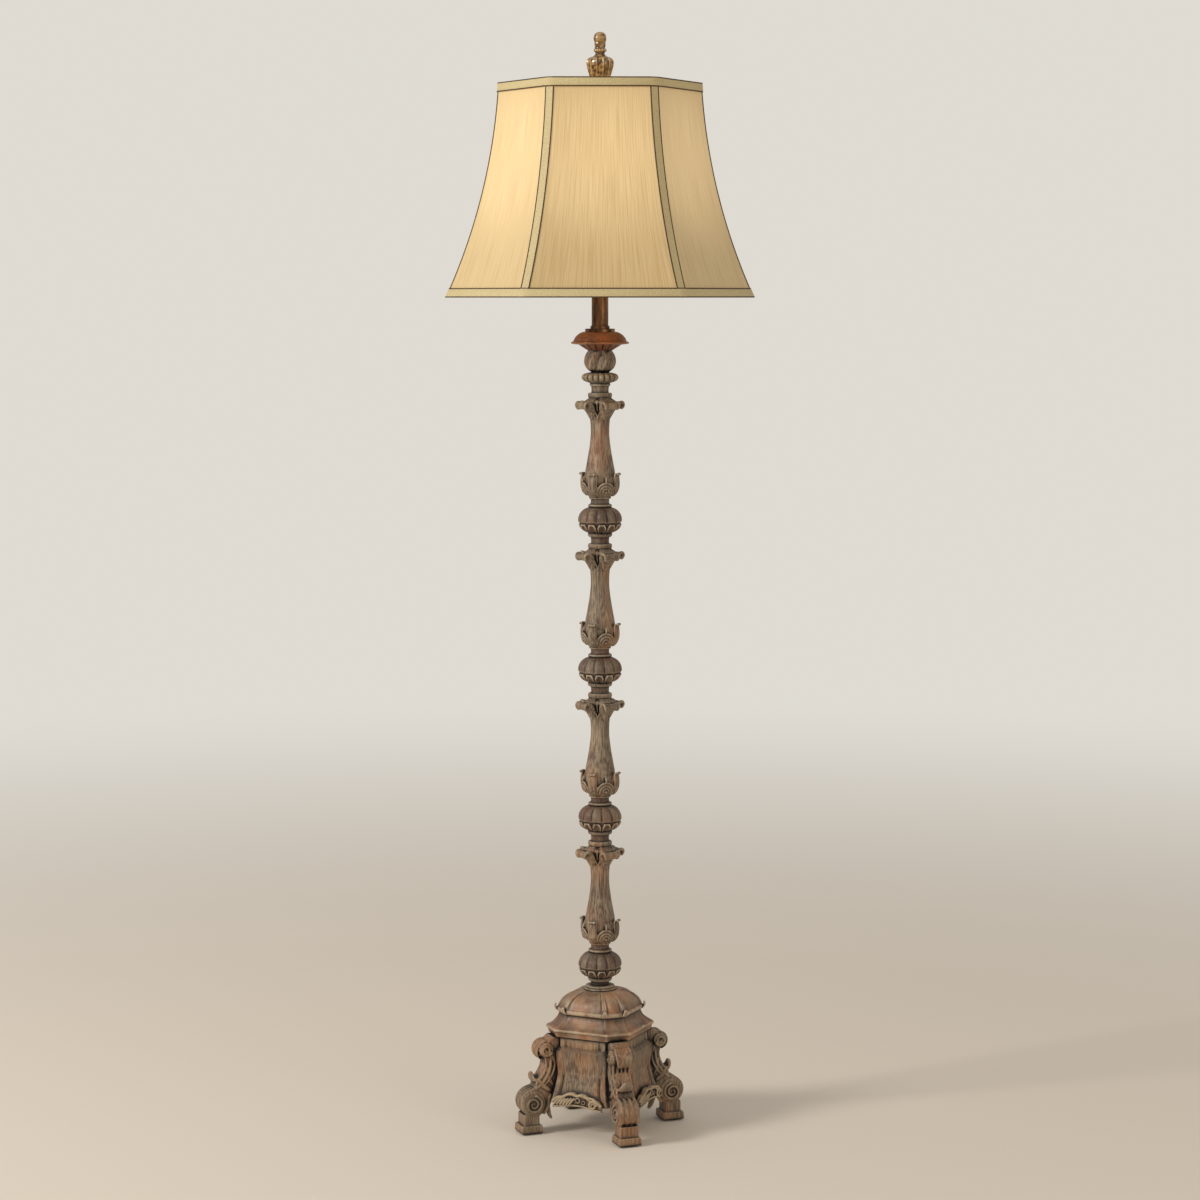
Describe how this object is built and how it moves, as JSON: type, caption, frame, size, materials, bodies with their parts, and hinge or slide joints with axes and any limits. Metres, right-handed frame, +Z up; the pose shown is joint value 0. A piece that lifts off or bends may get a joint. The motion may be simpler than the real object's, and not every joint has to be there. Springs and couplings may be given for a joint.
{
  "type": "candlestick floor lamp",
  "caption": "Candlestick floor lamp: scroll-legged pedestal, baluster column carved with leaves, drip pan, and a panelled bell shade held by a harp and finial.",
  "frame": {"origin": "on the floor, under the lamp's axis", "axes": "+Z up along the column; -Y towards the switch key; the harp lies in the XZ plane; the legs stand at 45 degrees to X and Y"},
  "size_m": [0.4184, 0.4592, 1.6515],
  "materials": {
    "felt": "dense felt disc",
    "carved_resin": "cast resin painted as aged carved wood, brown with orange streaks and a pale wash on the raised parts",
    "pan_resin": "cast resin painted reddish brown with fine upright streaks and a pale rim",
    "bronze": "aged bronze lacquer, satin",
    "steel": "zinc-plated",
    "iron": "rough casting",
    "black_rubber": "moulded",
    "brass": "satin, lacquered",
    "liner_card": "pressed card",
    "phenolic": "moulded, black",
    "bulb_metal": "plain",
    "bulb_glass": "frosted, lit warm",
    "shade_silk": "golden beige silk with fine upright slubs",
    "shade_braid": "pale olive-gold tape with dark brown piping",
    "frame_wire": "cream lacquer",
    "finial_resin": "mottled gold-brown, glossy"
  },
  "bodies": {
    "stand": {"foot_felts": "felt", "scroll_leg_1": "carved_resin", "scroll_leg_2": "carved_resin", "scroll_leg_3": "carved_resin", "scroll_leg_4": "carved_resin", "base_pedestal": "carved_resin", "base_cap": "carved_resin", "column_flange": "carved_resin", "knop_1": "carved_resin", "knop_2": "carved_resin", "knop_3": "carved_resin", "knop_4": "carved_resin", "baluster_1": "carved_resin", "baluster_2": "carved_resin", "baluster_3": "carved_resin", "baluster_4": "carved_resin", "upper_knop": "carved_resin", "lobed_bulb": "carved_resin", "drip_pan": "pan_resin", "check_ring": "bronze", "neck_tube": "bronze", "neck_cap": "bronze", "leg_screws": "steel", "base_plate": "steel", "tie_washer": "steel", "tie_nut": "steel", "tube_lower": "steel", "tube_middle": "steel", "tube_upper": "steel", "tube_couplings": "steel", "base_weight": "iron", "cable_grommet": "black_rubber", "socket_cap": "brass", "socket_shell": "brass", "screw_shell": "brass", "centre_contact": "brass", "harp_saddle": "brass", "saddle_nut": "brass", "harp_bow": "brass", "harp_stud": "brass", "socket_liner": "liner_card", "socket_core": "phenolic"},
    "switch_key": {"switch_key": "phenolic"},
    "bulb": {"bulb_cap": "bulb_metal", "bulb_glass": "bulb_glass"},
    "harp_sleeve_left": {"harp_sleeve_left": "brass"},
    "harp_sleeve_right": {"harp_sleeve_right": "brass"},
    "shade": {"shade_panel_1": "shade_silk", "shade_panel_2": "shade_silk", "shade_panel_3": "shade_silk", "shade_panel_4": "shade_silk", "shade_panel_5": "shade_silk", "shade_panel_6": "shade_silk", "corner_seams": "shade_braid", "foot_band": "shade_braid", "top_band": "shade_braid", "shade_frame": "frame_wire", "shade_spider": "frame_wire"},
    "finial": {"finial_insert": "brass", "finial_body": "finial_resin"}
  },
  "joints": [
    {"name": "key_turn", "type": "hinge", "parent": "stand", "child": "switch_key", "pos_m": [0, -0.03, 1.3426], "axis": [0, -1, 0], "continuous": true},
    {"name": "bulb_turn", "type": "hinge", "parent": "stand", "child": "bulb", "pos_m": [0, 0, 1.3636], "axis": [0, 0, 1], "range_deg": [0, 1440]},
    {"name": "shade_turn", "type": "hinge", "parent": "stand", "child": "shade", "pos_m": [0, 0, 1.5686], "axis": [0, 0, 1], "continuous": true},
    {"name": "finial_turn", "type": "hinge", "parent": "stand", "child": "finial", "pos_m": [0, 0, 1.5756], "axis": [0, 0, 1], "range_deg": [0, 3240]},
    {"name": "left_sleeve_slide", "type": "slide", "parent": "stand", "child": "harp_sleeve_left", "axis": [0, 0, 1], "range_m": [0, 0.012]},
    {"name": "right_sleeve_slide", "type": "slide", "parent": "stand", "child": "harp_sleeve_right", "axis": [0, 0, 1], "range_m": [0, 0.012]}
  ]
}
